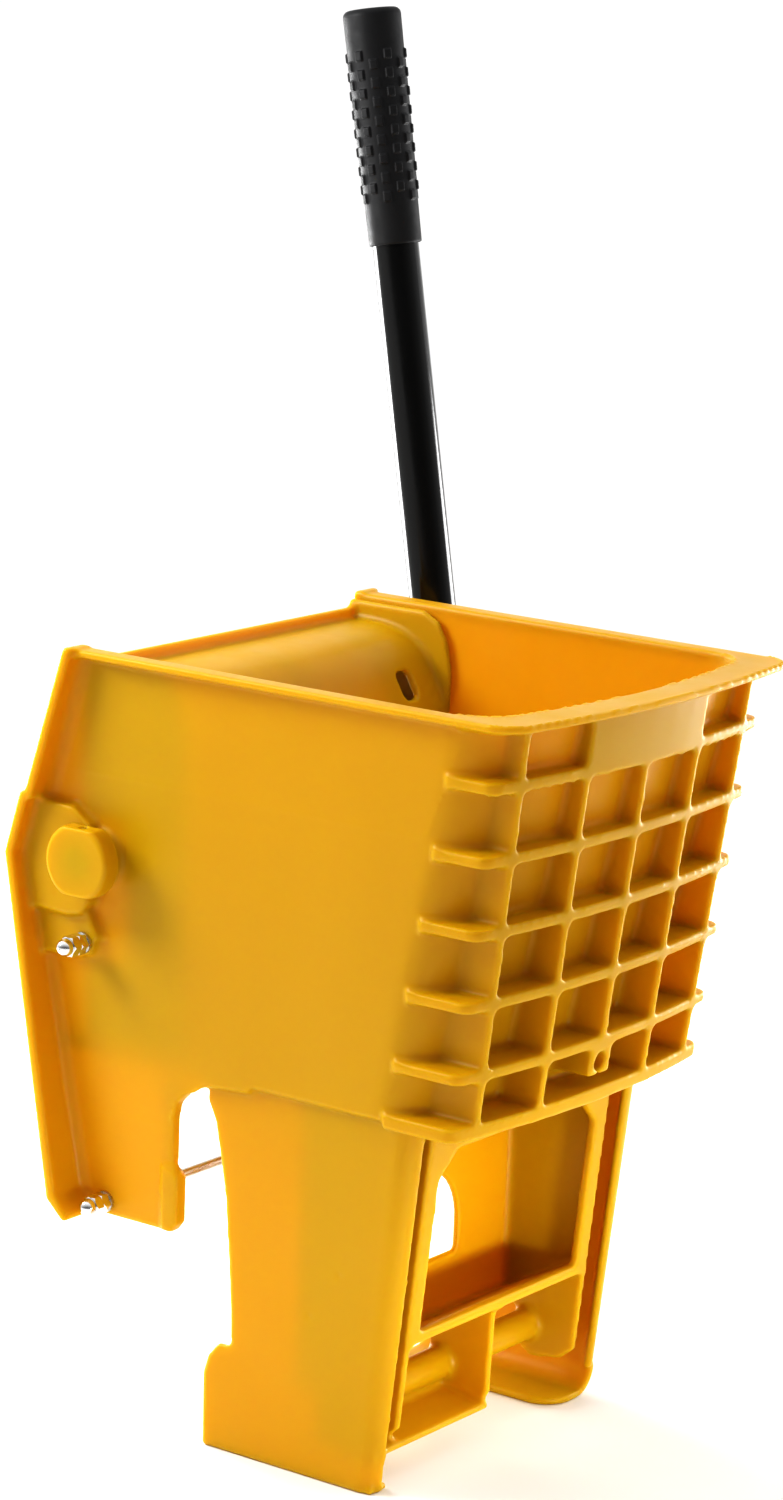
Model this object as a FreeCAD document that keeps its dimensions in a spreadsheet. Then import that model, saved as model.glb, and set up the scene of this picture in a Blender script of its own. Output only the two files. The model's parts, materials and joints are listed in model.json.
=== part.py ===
"""Side-press mop wringer: a one-piece plastic basket on a hollow leg, a sliding press
plate driven by two racks and sector gears, and a tubular hand lever.

Millimetres. +X points to the grid front, +Y to the lever side, +Z up. The origin is the
middle of the foot, on the floor. Lengths along X in the sheet are counted from the back
corner of the rim, and every sub-part's Placement moves them to the foot's middle.
"""
import FreeCAD, Part
import math
import os
import Sketcher

V = FreeCAD.Vector
AXIS_X = V(1, 0, 0)
AXIS_Y = V(0, 1, 0)
AXIS_Z = V(0, 0, 1)

doc = FreeCAD.newDocument("side_press_wringer")

# ---------------------------------------------------------------- driving dimensions

DIMENSIONS = {
    # basket
    "foot_middle": 136.5,
    "rim_height": 410,
    "rim_thick": 4,
    "rim_half_width": 126.5,
    "rim_front": 275,
    "rim_corner": 18,
    "half_width": 118,
    "side_draft": 0.0402,
    "wall": 3.5,
    "front_top": 264,
    "front_draft": 0.122,
    "front_bow": 8.5,
    "cell_depth_top": 6,
    "cell_depth_growth": 0.0892,
    "shell_corner": 28,
    "grid_corner": 8,
    "bar_height": 6,
    "bar_top": 377,
    "bar_pitch": 37,
    "bar_proud": 1.5,
    "bar_reach_top": 30,
    "bar_reach_growth": 0.072,
    "rib_thick": 4,
    "rib_pitch": 50,
    "floor_top": 203.5,
    "floor_bottom": 199,
    "flange_bottom": 196,
    "lip_half_width": 131,
    "lip_thick": 5,
    # leg
    "leg_ledge": 4.5,
    "leg_top_front": 209.5,
    "leg_draft": 0.096,
    "leg_corner": 10,
    "leg_wall": 4,
    "box_half_width": 79,
    "box_back": 142,
    "frame_setback": 3,
    "window_half_width": 70,
    "shelf_front_height": 80,
    "shelf_back_height": 54,
    "stiffener_radius": 8.5,
    "stiffener_x": 160,
    "stiffener_z": 38,
    "foot_bend": 16,
    "foot_lip_near": 16,
    "foot_lip_far": 40,
    # drive
    "shaft_x": 15,
    "shaft_z": 303,
    "shaft_radius": 8,
    "boss_proud": 8.3,
    "lower_pad_proud": 6,
    "bush_radius": 11,
    "bush_flange_radius": 14,
    "bush_flange": 2,
    "running_gap": 0.05,
    "gear_module": 3,
    "gear_teeth": 24,
    "gear_width": 14,
    "gear_inner": 75,
    "gear_hub_radius": 16,
    "backlash": 0.6,
    "rack_back": -43,
    "rack_front": 61,
    "rack_top": 353,
    "rack_width": 16,
    "rack_inner": 74,
    # press plate
    "plate_front": 70,
    "plate_gap": 1.6,
    "plate_wall": 3.5,
    "plate_bottom": 206.5,
    "vent_y": 82,
    # tie rods
    "rod_radius": 2.75,
    "upper_rod_x": 7.5,
    "upper_rod_z": 257,
    "lower_rod_x": 17,
    "lower_rod_z": 118.2,
    "nut_flats": 10,
    "nut_height": 5.5,
    "dome_radius": 4.6,
    "washer_radius": 5.6,
    "washer_thick": 1.4,
    # lever
    "lever_lean": 10.1,
    "tube_radius": 12.7,
    "tube_wall": 1.5,
    "tube_y": 174,
    "tube_offset": 12,
    "tube_bottom": -20,
    "tube_top": 420,
    "grip_length": 129,
    "grip_top_radius": 17,
    "grip_bottom_radius": 15.5,
    "grip_end": 3,
    "socket_radius": 18,
    "socket_bottom": -26,
    "socket_top": 78,
    "hub_radius": 25,
    "hub_inner": 124.7,
    "cap_radius": 20,
    "cap_height": 11,
    "cap_flat": 17.5,
    "pin_radius": 2.5,
    "bolt_radius": 4,
    "bolt_height": 52,
    "screw_radius": 2,
    # springs
    "spring_radius": 5,
    "spring_wire": 0.8,
    "spring_y": 45,
    "spring_turns": 14,
}

sheet = doc.addObject("Spreadsheet::Sheet", "Sizes")
for row, (name, value) in enumerate(DIMENSIONS.items(), start=1):
    sheet.set(f"A{row}", name)
    sheet.set(f"B{row}", str(value))
    sheet.setAlias(f"B{row}", name)
doc.recompute()


def size(name):
    """A driving dimension, read back from the sheet."""
    return float(sheet.get(name))


# ---------------------------------------------------------------- shared helpers

parts = []


def place(thing, x=0, y=0, z=0, rotation=None):
    """Put a sub-part at x, y, z, with x counted from the rim's back corner."""
    turn = rotation or FreeCAD.Rotation()
    thing.Placement = FreeCAD.Placement(V(x - size("foot_middle"), y, z), turn)
    return thing


def keep(thing, label):
    """List a finished sub-part under the name of its file."""
    thing.Label = label
    parts.append(thing)
    return thing


def feature(label, shape):
    """A sub-part whose shape is made by Part's own functions.

    A shape that has been moved is wrapped, so that the sub-part's Placement adds to the move.
    """
    thing = doc.addObject("Part::Feature", label)
    thing.Shape = shape if shape.Placement.isIdentity() else Part.makeCompound([shape])
    return keep(thing, label)


def polygon(points, y=0.0):
    """A closed wire in the XZ plane at y."""
    corners = [V(x, y, z) for x, z in points]
    return Part.makePolygon(corners + corners[:1])


def slab(points, y0, y1):
    """A prism with an XZ outline, from y0 to y1."""
    return Part.Face(polygon(points, y0)).extrude(V(0, y1 - y0, 0))


def box(x0, x1, y0, y1, z0, z1):
    return Part.makeBox(x1 - x0, y1 - y0, z1 - z0, V(x0, y0, z0))


def bar_along_y(radius, x, z, y0, y1):
    return Part.makeCylinder(radius, y1 - y0, V(x, y0, z), AXIS_Y)


def both_sides(shape):
    """The shape and its mirror image across the XZ plane."""
    return [shape, shape.mirror(V(0, 0, 0), AXIS_Y)]


# ---------------------------------------------------------------- basket

def side_y(z):
    """Outer face of the side walls."""
    return size("half_width") - (size("rim_height") - z) * size("side_draft")


def grid_x(z):
    """Front face of the grid, at its corners."""
    return size("front_top") - (size("rim_height") - z) * size("front_draft")


def shell_x(z):
    """Outer face of the front wall, behind the cells of the grid."""
    depth = size("cell_depth_top") + (size("rim_height") - z) * size("cell_depth_growth")
    return grid_x(z) - depth


def outline(z, half, front, corner, bow, back):
    """A plan outline: straight back and sides, round front corners, bowed front."""
    straight = half - corner
    bend = corner * math.sqrt(0.5)
    points = [
        V(back, -half, z),
        V(front - corner, -half, z),
        V(front - corner + bend, -straight - bend, z),
        V(front, -straight, z),
        V(front + bow, 0, z),
        V(front, straight, z),
        V(front - corner + bend, straight + bend, z),
        V(front - corner, half, z),
        V(back, half, z),
    ]
    edges = [
        Part.LineSegment(points[0], points[1]).toShape(),
        Part.Arc(points[1], points[2], points[3]).toShape(),
        Part.Arc(points[3], points[4], points[5]).toShape(),
        Part.Arc(points[5], points[6], points[7]).toShape(),
        Part.LineSegment(points[7], points[8]).toShape(),
        Part.LineSegment(points[8], points[0]).toShape(),
    ]
    return Part.Wire(edges)


def tapered(z0, z1, half, front, corner, bow, back):
    """A solid between two plan outlines; half and front are functions of height."""
    wires = [outline(z, half(z), front(z), corner, bow, back) for z in (z0, z1)]
    return Part.makeLoft(wires, True, True)


def leg_y(z):
    """Outer face of the leg's side panels, which stand back under the basket's edge."""
    return side_y(z) - size("leg_ledge") * z / size("floor_bottom")


def leg_front(z):
    """Front edge of the leg."""
    return size("leg_top_front") - (size("floor_top") - 1 - z) * size("leg_draft")


BACK_EDGE = [(0, 411), (-23.5, 333), (-26.5, 333), (-36, 300), (-3, 121), (8, 111)]
SLOT_FRONT = [(98.9, 58), (97.7, 83), (93.4, 137), (86.1, 176), (81, 186), (75, 189)]
SLOT_BACK = [(70, 187), (64, 181), (62, 172), (62, 150), (65.5, 144), (65.5, 119), (62, 113)]
HEEL = [(81, 0), (81, 40), (84, 50), (90, 57)]


def cavity():
    """The space inside the basket, open above and behind."""
    wall = size("wall")
    return tapered(size("floor_top"), size("rim_height") + 20,
                   lambda z: side_y(z) - wall, lambda z: shell_x(z) - wall,
                   size("shell_corner") - wall, size("front_bow"), -120)


def basket_shell():
    """Side walls, front wall and floor."""
    shell = tapered(size("floor_bottom"), size("rim_height"), side_y, shell_x,
                    size("shell_corner"), size("front_bow"), -80)
    shell = shell.cut(cavity())
    ahead = [(300, 190), (300, 411)]
    return shell.common(slab([(-15.7, 190)] + ahead + BACK_EDGE[:4], -200, 200))


def hook_panels():
    """The side walls' lower back corners, which hang over the bucket's rim."""
    wall = size("wall")
    outer = tapered(100, size("floor_top"), side_y, lambda z: 200, 10, 1, -80)
    inner = tapered(99, size("floor_top") + 1, lambda z: side_y(z) - wall,
                    lambda z: 199, 10, 1, -90)
    profile = BACK_EDGE[3:] + [(60, 111)] + SLOT_BACK[::-1]
    profile += [(75, 189), (82, 194), (110, 196), (110, 230), (-21, 230)]
    panels = outer.cut(inner).common(slab(profile, -200, 200))
    low = side_y(128)
    block = slab([(56, 113), (62, 112), (66, 117), (66, 141), (63, 144.5), (56, 146)],
                 low - 6.5, low + 2.5)
    high = side_y(165)
    doubler = slab([(54, 145), (62, 150), (62, 172), (64, 181), (70, 187), (64, 192), (54, 190)],
                   high - 6.5, high - 2)
    return panels.fuse(both_sides(block) + both_sides(doubler))


def back_lips():
    """Flanges turned outward along the back edges."""
    thick = size("lip_thick")
    inside = [(10.5, 111), (10, 114), (2.5, 124), (-30.5, 300), (-22, 330), (-19, 330), (thick, 411)]
    band = slab(BACK_EDGE + inside, -size("lip_half_width"), size("lip_half_width"))
    wall = size("wall")
    between = tapered(100, 420, lambda z: side_y(z) - wall, lambda z: 200, 10, 1, -90)
    return band.cut(between)


def rim():
    """Flat flange round the top, open at the back."""
    z1 = size("rim_height")
    z0 = z1 - size("rim_thick")
    flange = tapered(z0, z1, lambda z: size("rim_half_width"), lambda z: size("rim_front"),
                     size("rim_corner"), size("front_bow"), 0)
    return flange.cut(cavity())


def grid():
    """Bars and ribs that stand on the front wall and wrap round its corners."""
    z0 = size("flange_bottom")
    z1 = size("rim_height")
    proud = size("bar_proud")
    outer = tapered(z0, z1, lambda z: side_y(z) + proud, grid_x, size("grid_corner"),
                    size("front_bow"), 100)
    core = tapered(z0 - 1, z1 + 1, lambda z: side_y(z) - 1, lambda z: shell_x(z) - 1,
                   size("shell_corner"), size("front_bow"), 90)
    space = outer.cut(core)
    half_bar = size("bar_height") / 2
    half_rib = size("rib_thick") / 2

    def reach(z):
        return size("bar_reach_top") + (size("bar_top") - z) * size("bar_reach_growth")

    heights = [size("bar_top") - i * size("bar_pitch") for i in range(5)]
    pieces = [box(grid_x(z) - reach(z), 300, -200, 200, z - half_bar, z + half_bar) for z in heights]
    pieces.append(box(grid_x(z1) - reach(z1), 300, -200, 200, z1 - 2 * half_bar, z1))
    pieces.append(box(grid_x(z0) - reach(z0), 300, -200, 200, z0, size("floor_top")))
    lowest_bar = heights[-1]
    for i in (-2, -1, 0, 1, 2):
        top = i * size("rib_pitch")
        foot = top * side_y(z0) / side_y(z1)
        low = lowest_bar if i == 0 else z0
        wires = []
        for z, y in ((z1, top), (low, foot)):
            corners = [V(150, y - half_rib, z), V(300, y - half_rib, z),
                       V(300, y + half_rib, z), V(150, y + half_rib, z)]
            wires.append(Part.makePolygon(corners + corners[:1]))
        pieces.append(Part.makeLoft(wires, True, True))
    blank = tapered(heights[0], z1, side_y, lambda z: grid_x(z) - 5, 10, size("front_bow"), 90)
    middle = box(200, 300, -size("rib_pitch"), size("rib_pitch"), heights[0], z1)
    pieces.append(middle.cut(blank))
    hanger_hole = Part.makeCylinder(5, 200, V(150, 0, lowest_bar - 11), AXIS_X)
    hanger = box(200, 300, -9, 9, lowest_bar - 18, lowest_bar)
    pieces.append(hanger.cut(hanger_hole).common(box(200, 300, -9, 9, 0, 400)))
    bars = pieces[0].fuse(pieces[1:])
    return space.common(bars)


def leg_skin():
    """The leg's outer panels, with round front corners and a turned-in foot lip."""
    wall = size("leg_wall")
    top = size("floor_top") - 1
    corner = size("leg_corner")
    outer = tapered(0, top, leg_y, leg_front, corner, 0.01, 40)
    inner = tapered(-1, top + 1, lambda z: leg_y(z) - wall, lambda z: leg_front(z) - wall,
                    corner - wall, 0.01, 30)
    opening = box(150, 260, -leg_y(0) + corner, leg_y(0) - corner, -1, size("rim_height"))
    profile = HEEL + SLOT_FRONT[:5] + [(86, 230), (260, 230), (260, 0)]
    panels = outer.cut(inner).cut(opening).common(slab(profile, -200, 200))
    heel = HEEL[0][0]
    toe = leg_front(0) - 1
    out = leg_y(0)
    near = box(heel, toe, 1 - out, size("foot_lip_near") - out, 0, 3)
    far = box(heel, toe, out - size("foot_lip_far"), out - size("foot_bend"), 0, wall)
    inner_corner = [edge for edge in far.Edges
                    if abs(edge.CenterOfMass.z - wall / 2) < 0.1 and edge.CenterOfMass.x > 150
                    and edge.CenterOfMass.y < out - 25]
    bend = size("foot_bend")
    middle = V(heel, out - bend, bend)
    turn = Part.makeCylinder(bend, toe - heel, middle, AXIS_X)
    turn = turn.cut(Part.makeCylinder(bend - wall, toe - heel, middle, AXIS_X))
    corner_space = box(heel, 260, out - bend, out + 10, -1, bend)
    panels = panels.cut(corner_space)
    return panels.fuse([near, far.makeFillet(18, inner_corner), turn.common(corner_space)])


def leg_box():
    """The box inside the leg: side plates, window frame, back panel, shelf and ribs."""
    half = size("box_half_width")
    back = size("box_back")
    top = size("floor_bottom") + 1
    shelf_front = size("shelf_front_height")
    shelf_back = size("shelf_back_height")
    sx = size("stiffener_x")
    sz = size("stiffener_z")

    def face(z):
        return leg_front(z) - size("frame_setback")

    front = face(shelf_front)
    plate = slab([(back, shelf_back - 6), (back, top), (face(top), top), (face(30), 30),
                  (face(23) - 8, 23), (sx + 2, 20), (sx - 6, 26), (sx - 8, sz + 9)], half - 2, half + 2)
    window_half = size("window_half_width")
    window_top = 175
    chamfer = 14
    foot = shelf_front - 4
    frame = slab([(face(foot) - 5, foot), (face(foot), foot), (face(top), top), (face(top) - 5, top)],
                 -half, half)
    hole = Part.makePolygon([V(front - 9, y, z) for y, z in (
        (-window_half, shelf_front), (window_half, shelf_front),
        (window_half, window_top - chamfer), (window_half - chamfer, window_top),
        (chamfer - window_half, window_top), (-window_half, window_top - chamfer),
        (-window_half, shelf_front))])
    frame = frame.cut(Part.Face(hole).extrude(V(40, 0, 0)))
    panel = box(back - 2, back + 2, 4 - side_y(0), side_y(0) - 4, shelf_back - 6, top)
    arch_half = 32
    arch_base = 86
    arch_top = 104
    arch = box(back - 3, back + 3, -arch_half, arch_half, arch_base, arch_top)
    crown = Part.makeCylinder(arch_half, 6, V(back - 3, 0, arch_top), AXIS_X)
    arch = arch.fuse(crown.common(box(0, 300, -60, 60, arch_top, 300)))
    panel = panel.cut(arch)
    shelf = slab([(back, shelf_back - 4), (back, shelf_back), (front - 4, shelf_front),
                  (front, shelf_front), (front, shelf_front - 6), (front - 6, shelf_front - 6)],
                 -half, half)
    rib = slab([(front - 3, shelf_front - 3), (face(27), 27), (face(22) - 5, 22), (sx, 20),
                (sx - 8, 28), (sx - 8, shelf_back + 2)], -2, 2)
    drip_front = face(20) + 0.8
    drip = slab([(sx - 8, 23.5), (drip_front, 18.5), (drip_front, 22), (sx - 8, 27)],
                2 - leg_y(0), 0)
    tube = bar_along_y(size("stiffener_radius"), sx, sz, -side_y(0) + 2, side_y(0) - 2)
    bore = bar_along_y(size("stiffener_radius") - 2, sx, sz, -side_y(0) + 5, side_y(0) - 5)
    solid = plate.fuse(both_sides(plate)[1:] + [frame, panel, shelf, rib, drip, tube])
    return solid.cut(bore)


def boss_pads():
    """Two raised pads outside each wall: one round the cross shaft, one at the upper rod."""
    x = size("shaft_x")
    z = size("shaft_z")
    inner = side_y(z) - size("wall")
    shaft_pad = slab([(-34, z + 26), (1, z + 25), (13, z + 17), (13, z - 24), (8, z - 30),
                      (0, z - 32), (-30, z - 31)], inner, side_y(z) + size("boss_proud"))
    rod_x = size("upper_rod_x")
    rod_z = size("upper_rod_z")
    rod_face = side_y(rod_z) + size("lower_pad_proud")
    rod_pad = slab([(-32, z - 29), (10, z - 29), (17, rod_z + 3), (12, rod_z + 2), (4, rod_z - 8),
                    (-10, rod_z - 9), (-30, rod_z - 9)], inner, rod_face)
    rod_seat = bar_along_y(6.5, rod_x, rod_z, inner, rod_face)
    hub = bar_along_y(size("bush_flange_radius"), x, z, inner, side_y(z) + size("boss_proud"))
    keep_in = slab(BACK_EDGE + [(120, 111), (120, 411)], 0, 300)
    return shaft_pad.fuse([hub, rod_pad, rod_seat]).common(keep_in)


def drain_slots():
    """Rows of slots through the basket's floor."""
    slots = []
    for column in range(6):
        for line in range(5):
            x = 30 + column * 30
            y = (line - 2) * 36
            slots.append(box(x, x + 20, y - 3, y + 3, 190, 206))
    return slots


def basket():
    """The whole moulding."""
    body = basket_shell().fuse([hook_panels(), back_lips(), rim(), grid(), leg_skin(), leg_box()])
    body = body.fuse(both_sides(boss_pads()))
    clear = cavity().cut(box(-130, 300, -200, 200, size("rim_height") + 1, 500))
    body = body.cut(clear)
    cuts = []
    bush = size("bush_radius") + size("running_gap")
    cuts.append(bar_along_y(bush, size("shaft_x"), size("shaft_z"), -200, 200))
    rod = size("rod_radius") + 0.15
    for x, z in (("upper_rod_x", "upper_rod_z"), ("lower_rod_x", "lower_rod_z")):
        cuts.append(bar_along_y(rod, size(x), size(z), -200, 200))
    body = body.cut(cuts + drain_slots())
    return body.removeSplitter()


place(feature("basket", basket()))


# ---------------------------------------------------------------- small bodies

def new_body(label):
    body = doc.addObject("PartDesign::Body", label)
    return keep(body, label)


def origin_plane(body, role):
    for item in body.Origin.OriginFeatures:
        if item.Role == role:
            return item
    raise ValueError(role)


def disc(body, name, radius, length, start="0", cut=False):
    """Pad or pocket a circle about the body's Z axis; sizes are sheet expressions."""
    sketch = body.newObject("Sketcher::SketchObject", name + "_sketch")
    sketch.AttachmentSupport = [(origin_plane(body, "XY_Plane"), "")]
    sketch.MapMode = "FlatFace"
    sketch.setExpression("AttachmentOffset.Base.z", start)
    circle = sketch.addGeometry(Part.Circle(V(0, 0, 0), AXIS_Z, 5), False)
    sketch.addConstraint(Sketcher.Constraint("Coincident", circle, 3, -1, 1))
    index = sketch.addConstraint(Sketcher.Constraint("Radius", circle, 5))
    sketch.renameConstraint(index, "radius")
    sketch.setExpression("Constraints.radius", radius)
    step = body.newObject("PartDesign::Pocket" if cut else "PartDesign::Pad", name)
    step.Profile = sketch
    step.setExpression("Length", length)
    step.Reversed = cut
    return step


def y_axis_turn(toward=1):
    """Turns a body's Z axis to point along +Y or -Y."""
    return FreeCAD.Rotation(AXIS_X, -90 * toward)


def bush(label, side):
    """A plastic bush: a flange outside the boss and a sleeve through the wall."""
    body = new_body(label)
    disc(body, "flange", "Sizes.bush_flange_radius", "Sizes.bush_flange")
    disc(body, "sleeve", "Sizes.bush_radius", "Sizes.boss_proud + Sizes.wall - 0.5",
         "-(Sizes.boss_proud + Sizes.wall - 0.5)")
    disc(body, "bore", "Sizes.shaft_radius + Sizes.running_gap", "40 mm", "-20", cut=True)
    y = side_y(size("shaft_z")) + size("boss_proud")
    return place(body, size("shaft_x"), side * y, size("shaft_z"), y_axis_turn(side))


bush("bearing_bush_near", -1)
bush("bearing_bush_far", 1)


def cylinder(label, radius, height):
    """A Part primitive whose sizes are bound to the sheet."""
    thing = doc.addObject("Part::Cylinder", label)
    thing.setExpression("Radius", radius)
    thing.setExpression("Height", height)
    return thing


# ---------------------------------------------------------------- tie rods and their nuts

ROD_ENDS = {}
for label, x, z in (("upper_tie_rod", "upper_rod_x", "upper_rod_z"),
                    ("lower_tie_rod", "lower_rod_x", "lower_rod_z")):
    seat = side_y(size(z)) + size("washer_radius") * size("side_draft")
    if label == "upper_tie_rod":
        seat = side_y(size(z)) + size("lower_pad_proud")
    ROD_ENDS[label] = (size(x), size(z), seat)
    stick_out = size("washer_thick") + 2 * size("nut_height")
    rod = cylinder(label, "Sizes.rod_radius", f"2 * {seat + stick_out}")
    keep(place(rod, size(x), -seat - stick_out, size(z), y_axis_turn()), label)


def at_rod_ends(shape, offset):
    """Copies of a shape made along +Z, set on the four rod ends pointing outward."""
    copies = []
    for x, z, seat in ROD_ENDS.values():
        for side in (-1, 1):
            copy = shape.copy()
            copy.Placement = FreeCAD.Placement(V(x, side * (seat + offset), z), y_axis_turn(side))
            copies.append(copy)
    return Part.makeCompound(copies)


def hexagon(flats, height, z0=0.0):
    """A hexagonal prism about Z."""
    radius = flats / math.sqrt(3)
    corners = [V(radius * math.cos(math.radians(60 * i)), radius * math.sin(math.radians(60 * i)), z0)
               for i in range(7)]
    return Part.Face(Part.makePolygon(corners)).extrude(V(0, 0, height))


def chamfered_hexagon(flats, height, z0=0.0):
    """A hexagonal prism whose corners are turned down at both ends."""
    radius = flats / math.sqrt(3)
    turned = Part.makeCylinder(radius, height, V(0, 0, z0), AXIS_Z)
    ends = [edge for edge in turned.Edges if edge.Curve.TypeId == "Part::GeomCircle"]
    turned = turned.makeChamfer(0.7, ends)
    return hexagon(flats, height, z0).common(turned)


def acorn_nut():
    """A hexagon with a dome on top and a blind hole for the rod."""
    flats = size("nut_flats")
    height = size("nut_height")
    dome_radius = size("dome_radius")
    dome = Part.makeCylinder(dome_radius, height, V(0, 0, 0), AXIS_Z)
    dome = dome.fuse(Part.makeSphere(dome_radius, V(0, 0, height + 1.5)))
    dome = dome.fuse(Part.makeCylinder(dome_radius, 1.5, V(0, 0, height), AXIS_Z))
    body = chamfered_hexagon(flats, height).fuse(dome.common(box(-9, 9, -9, 9, 0, 20)))
    return body.cut(Part.makeCylinder(size("rod_radius"), height + 0.2)).removeSplitter()


def plain_nut():
    height = size("nut_height")
    nut = chamfered_hexagon(size("nut_flats"), height)
    return nut.cut(Part.makeCylinder(size("rod_radius"), height))


def washer():
    height = size("washer_thick")
    ring = Part.makeCylinder(size("washer_radius"), height)
    return ring.cut(Part.makeCylinder(size("rod_radius") + 0.1, height))


place(feature("rod_washers", at_rod_ends(washer(), 0)))
place(feature("rod_nuts", at_rod_ends(plain_nut(), size("washer_thick"))))
place(feature("acorn_nuts", at_rod_ends(acorn_nut(), size("washer_thick") + size("nut_height"))))


# ---------------------------------------------------------------- press plate and racks

SCREW_X = (14, 48)
SCREW_Z = size("rack_top") - 5


def plate_y(z):
    """Outer face of the press plate's end walls, which follow the basket's walls."""
    return side_y(z) - size("wall") - size("plate_gap")


def plate_block(profile, inset):
    """An XZ profile extruded between the plate's leaning end planes, less an inset."""
    return slab(profile, -200, 200).common(plate_wedge(inset))


def plate_wedge(inset):
    """The space between the plate's leaning end planes, less an inset."""
    z0 = size("plate_bottom") - 5
    z1 = size("rim_height") + 5
    return tapered(z0, z1, lambda z: plate_y(z) - inset, lambda z: 150, 5, 0.01, -60)


def rolled(points):
    """A curve that starts level along X and ends straight down."""
    curve = Part.BSplineCurve()
    curve.interpolate(Points=[V(x, -200, z) for x, z in points],
                      InitialTangent=AXIS_X, FinalTangent=-AXIS_Z)
    return curve.toShape()


def nose_sheet():
    """The plate's top edge, nose and working face, bent from one thickness."""
    wall = size("plate_wall")
    front = size("plate_front")
    bottom = size("plate_bottom")
    crest = 403
    inner = front - wall
    outside = rolled([(4, 397), (23, 396.5), (43, 391.5), (54, 383), (62, 371),
                      (front - 1, 358), (front, 345)])
    inside = rolled([(4, 393.5), (23, 393), (41, 388), (51, 380), (58, 369),
                     (inner - 1, 357), (inner, 345)])
    low = Part.makePolygon([V(x, -200, z) for x, z in (
        (front, 345), (front, bottom), (inner, bottom), (inner, 345))])
    back = Part.makePolygon([V(x, -200, z) for x, z in (
        (4, 393.5), (4, 360), (0, 360), (0, crest), (4, crest), (4, 397))])
    edges = Part.__sortEdges__([outside, inside] + low.Edges + back.Edges)
    return Part.Face(Part.Wire(edges)).extrude(V(0, 400, 0))


def press_plate():
    """A hollow pusher, open behind and below, with a rolled nose along its top edge."""
    wall = size("plate_wall")
    front = size("plate_front")
    bottom = size("plate_bottom")
    outer = nose_sheet().common(plate_wedge(0))
    end_profile = [(0, bottom), (0, 407), (50, 407), (60, 402), (66, 392), (front, 376), (front, bottom)]
    ends = plate_block(end_profile, 0).cut(plate_block(end_profile, wall))
    stiff = [slab([(4, 393), (23, 393), (41, 387), (57, 369), (66, 345), (66, bottom + 20), (52, 340),
                   (40, 372), (4, 378)], y - 1.5, y + 1.5) for y in (-67, 0, 67)]
    pads = box(2, 60, size("rack_inner") + size("rack_width"), 108, 340, size("rack_top"))
    pads = both_sides(pads.common(plate_block([(0, 300), (0, 400), (80, 400), (80, 300)], 1)))
    plate = outer.fuse([ends] + stiff + pads)
    notch_top = size("shaft_z") + size("gear_hub_radius") + 4
    notch_low = size("upper_rod_z") - 8
    notch = box(-10, size("shaft_x") + 13, -200, 200, notch_low, notch_top)
    notch = notch.cut(box(-20, 200, -80, 80, 0, 500))
    inner = front - wall
    rod_z = size("upper_rod_z")
    eyes = [box(inner - 8, inner + 0.5, y - 2, y + 2, rod_z - 8, rod_z + 8)
            for y in (-size("spring_y"), size("spring_y"))]
    eye_holes = bar_along_y(1.6, inner - 4, rod_z, -60, 60)
    plate = plate.cut(notch).fuse(eyes).cut(eye_holes)
    screw = size("screw_radius") + 0.1
    tapped = [bar_along_y(screw, x, SCREW_Z, -96, 96) for x in SCREW_X]
    half_slot = 6
    slot = box(50, front + 2, size("vent_y") - half_slot, size("vent_y") + half_slot, 364, 378)
    return plate.cut(tapped + [slot]).removeSplitter()


place(feature("press_plate", press_plate()))


def gear_flank(pitch_radius, module):
    """Half a tooth's involute flank: radius and angle from the tooth's middle."""
    pressure = math.radians(20)
    base = pitch_radius * math.cos(pressure)
    half_tooth = (math.pi * module / 2 - size("backlash") / 2) / (2 * pitch_radius)
    involute = math.tan(pressure) - pressure
    points = []
    for i in range(6):
        radius = base + 0.4 + (pitch_radius + module - base - 0.4) * i / 5
        angle = math.acos(base / radius)
        points.append((radius, half_tooth + involute - (math.tan(angle) - angle)))
    return points


def sector_gear():
    """A toothed sector on a hub, about the Y axis, with a tooth straight up."""
    module = size("gear_module")
    pitch_radius = module * size("gear_teeth") / 2
    root = pitch_radius - 1.25 * module
    width = size("gear_width")
    step = 2 * math.pi / size("gear_teeth")
    half_root = 1.2 / root
    flank = gear_flank(pitch_radius, module)
    outline_points = []
    for tooth in range(8, -3, -1):
        middle = math.pi / 2 + tooth * step
        outline_points.append((root, middle + step / 2 - half_root))
        outline_points += [(r, middle + a) for r, a in flank]
        outline_points += [(r, middle - a) for r, a in flank[::-1]]
        outline_points.append((root, middle - step / 2 + half_root))
    corners = [V(r * math.cos(a), 0, r * math.sin(a)) for r, a in outline_points]
    corners = [V(0, 0, 0)] + corners
    sector = Part.Face(Part.makePolygon(corners + corners[:1])).extrude(V(0, width, 0))
    hub = Part.makeCylinder(size("gear_hub_radius"), width, V(0, 0, 0), AXIS_Y)
    gear = sector.fuse(hub)
    bore = Part.makeCylinder(size("shaft_radius"), width + 2, V(0, -1, 0), AXIS_Y)
    pin = Part.makeCylinder(size("pin_radius"), 60, V(0, width / 2, -30), AXIS_Z)
    return gear.cut([bore, pin])


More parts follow.
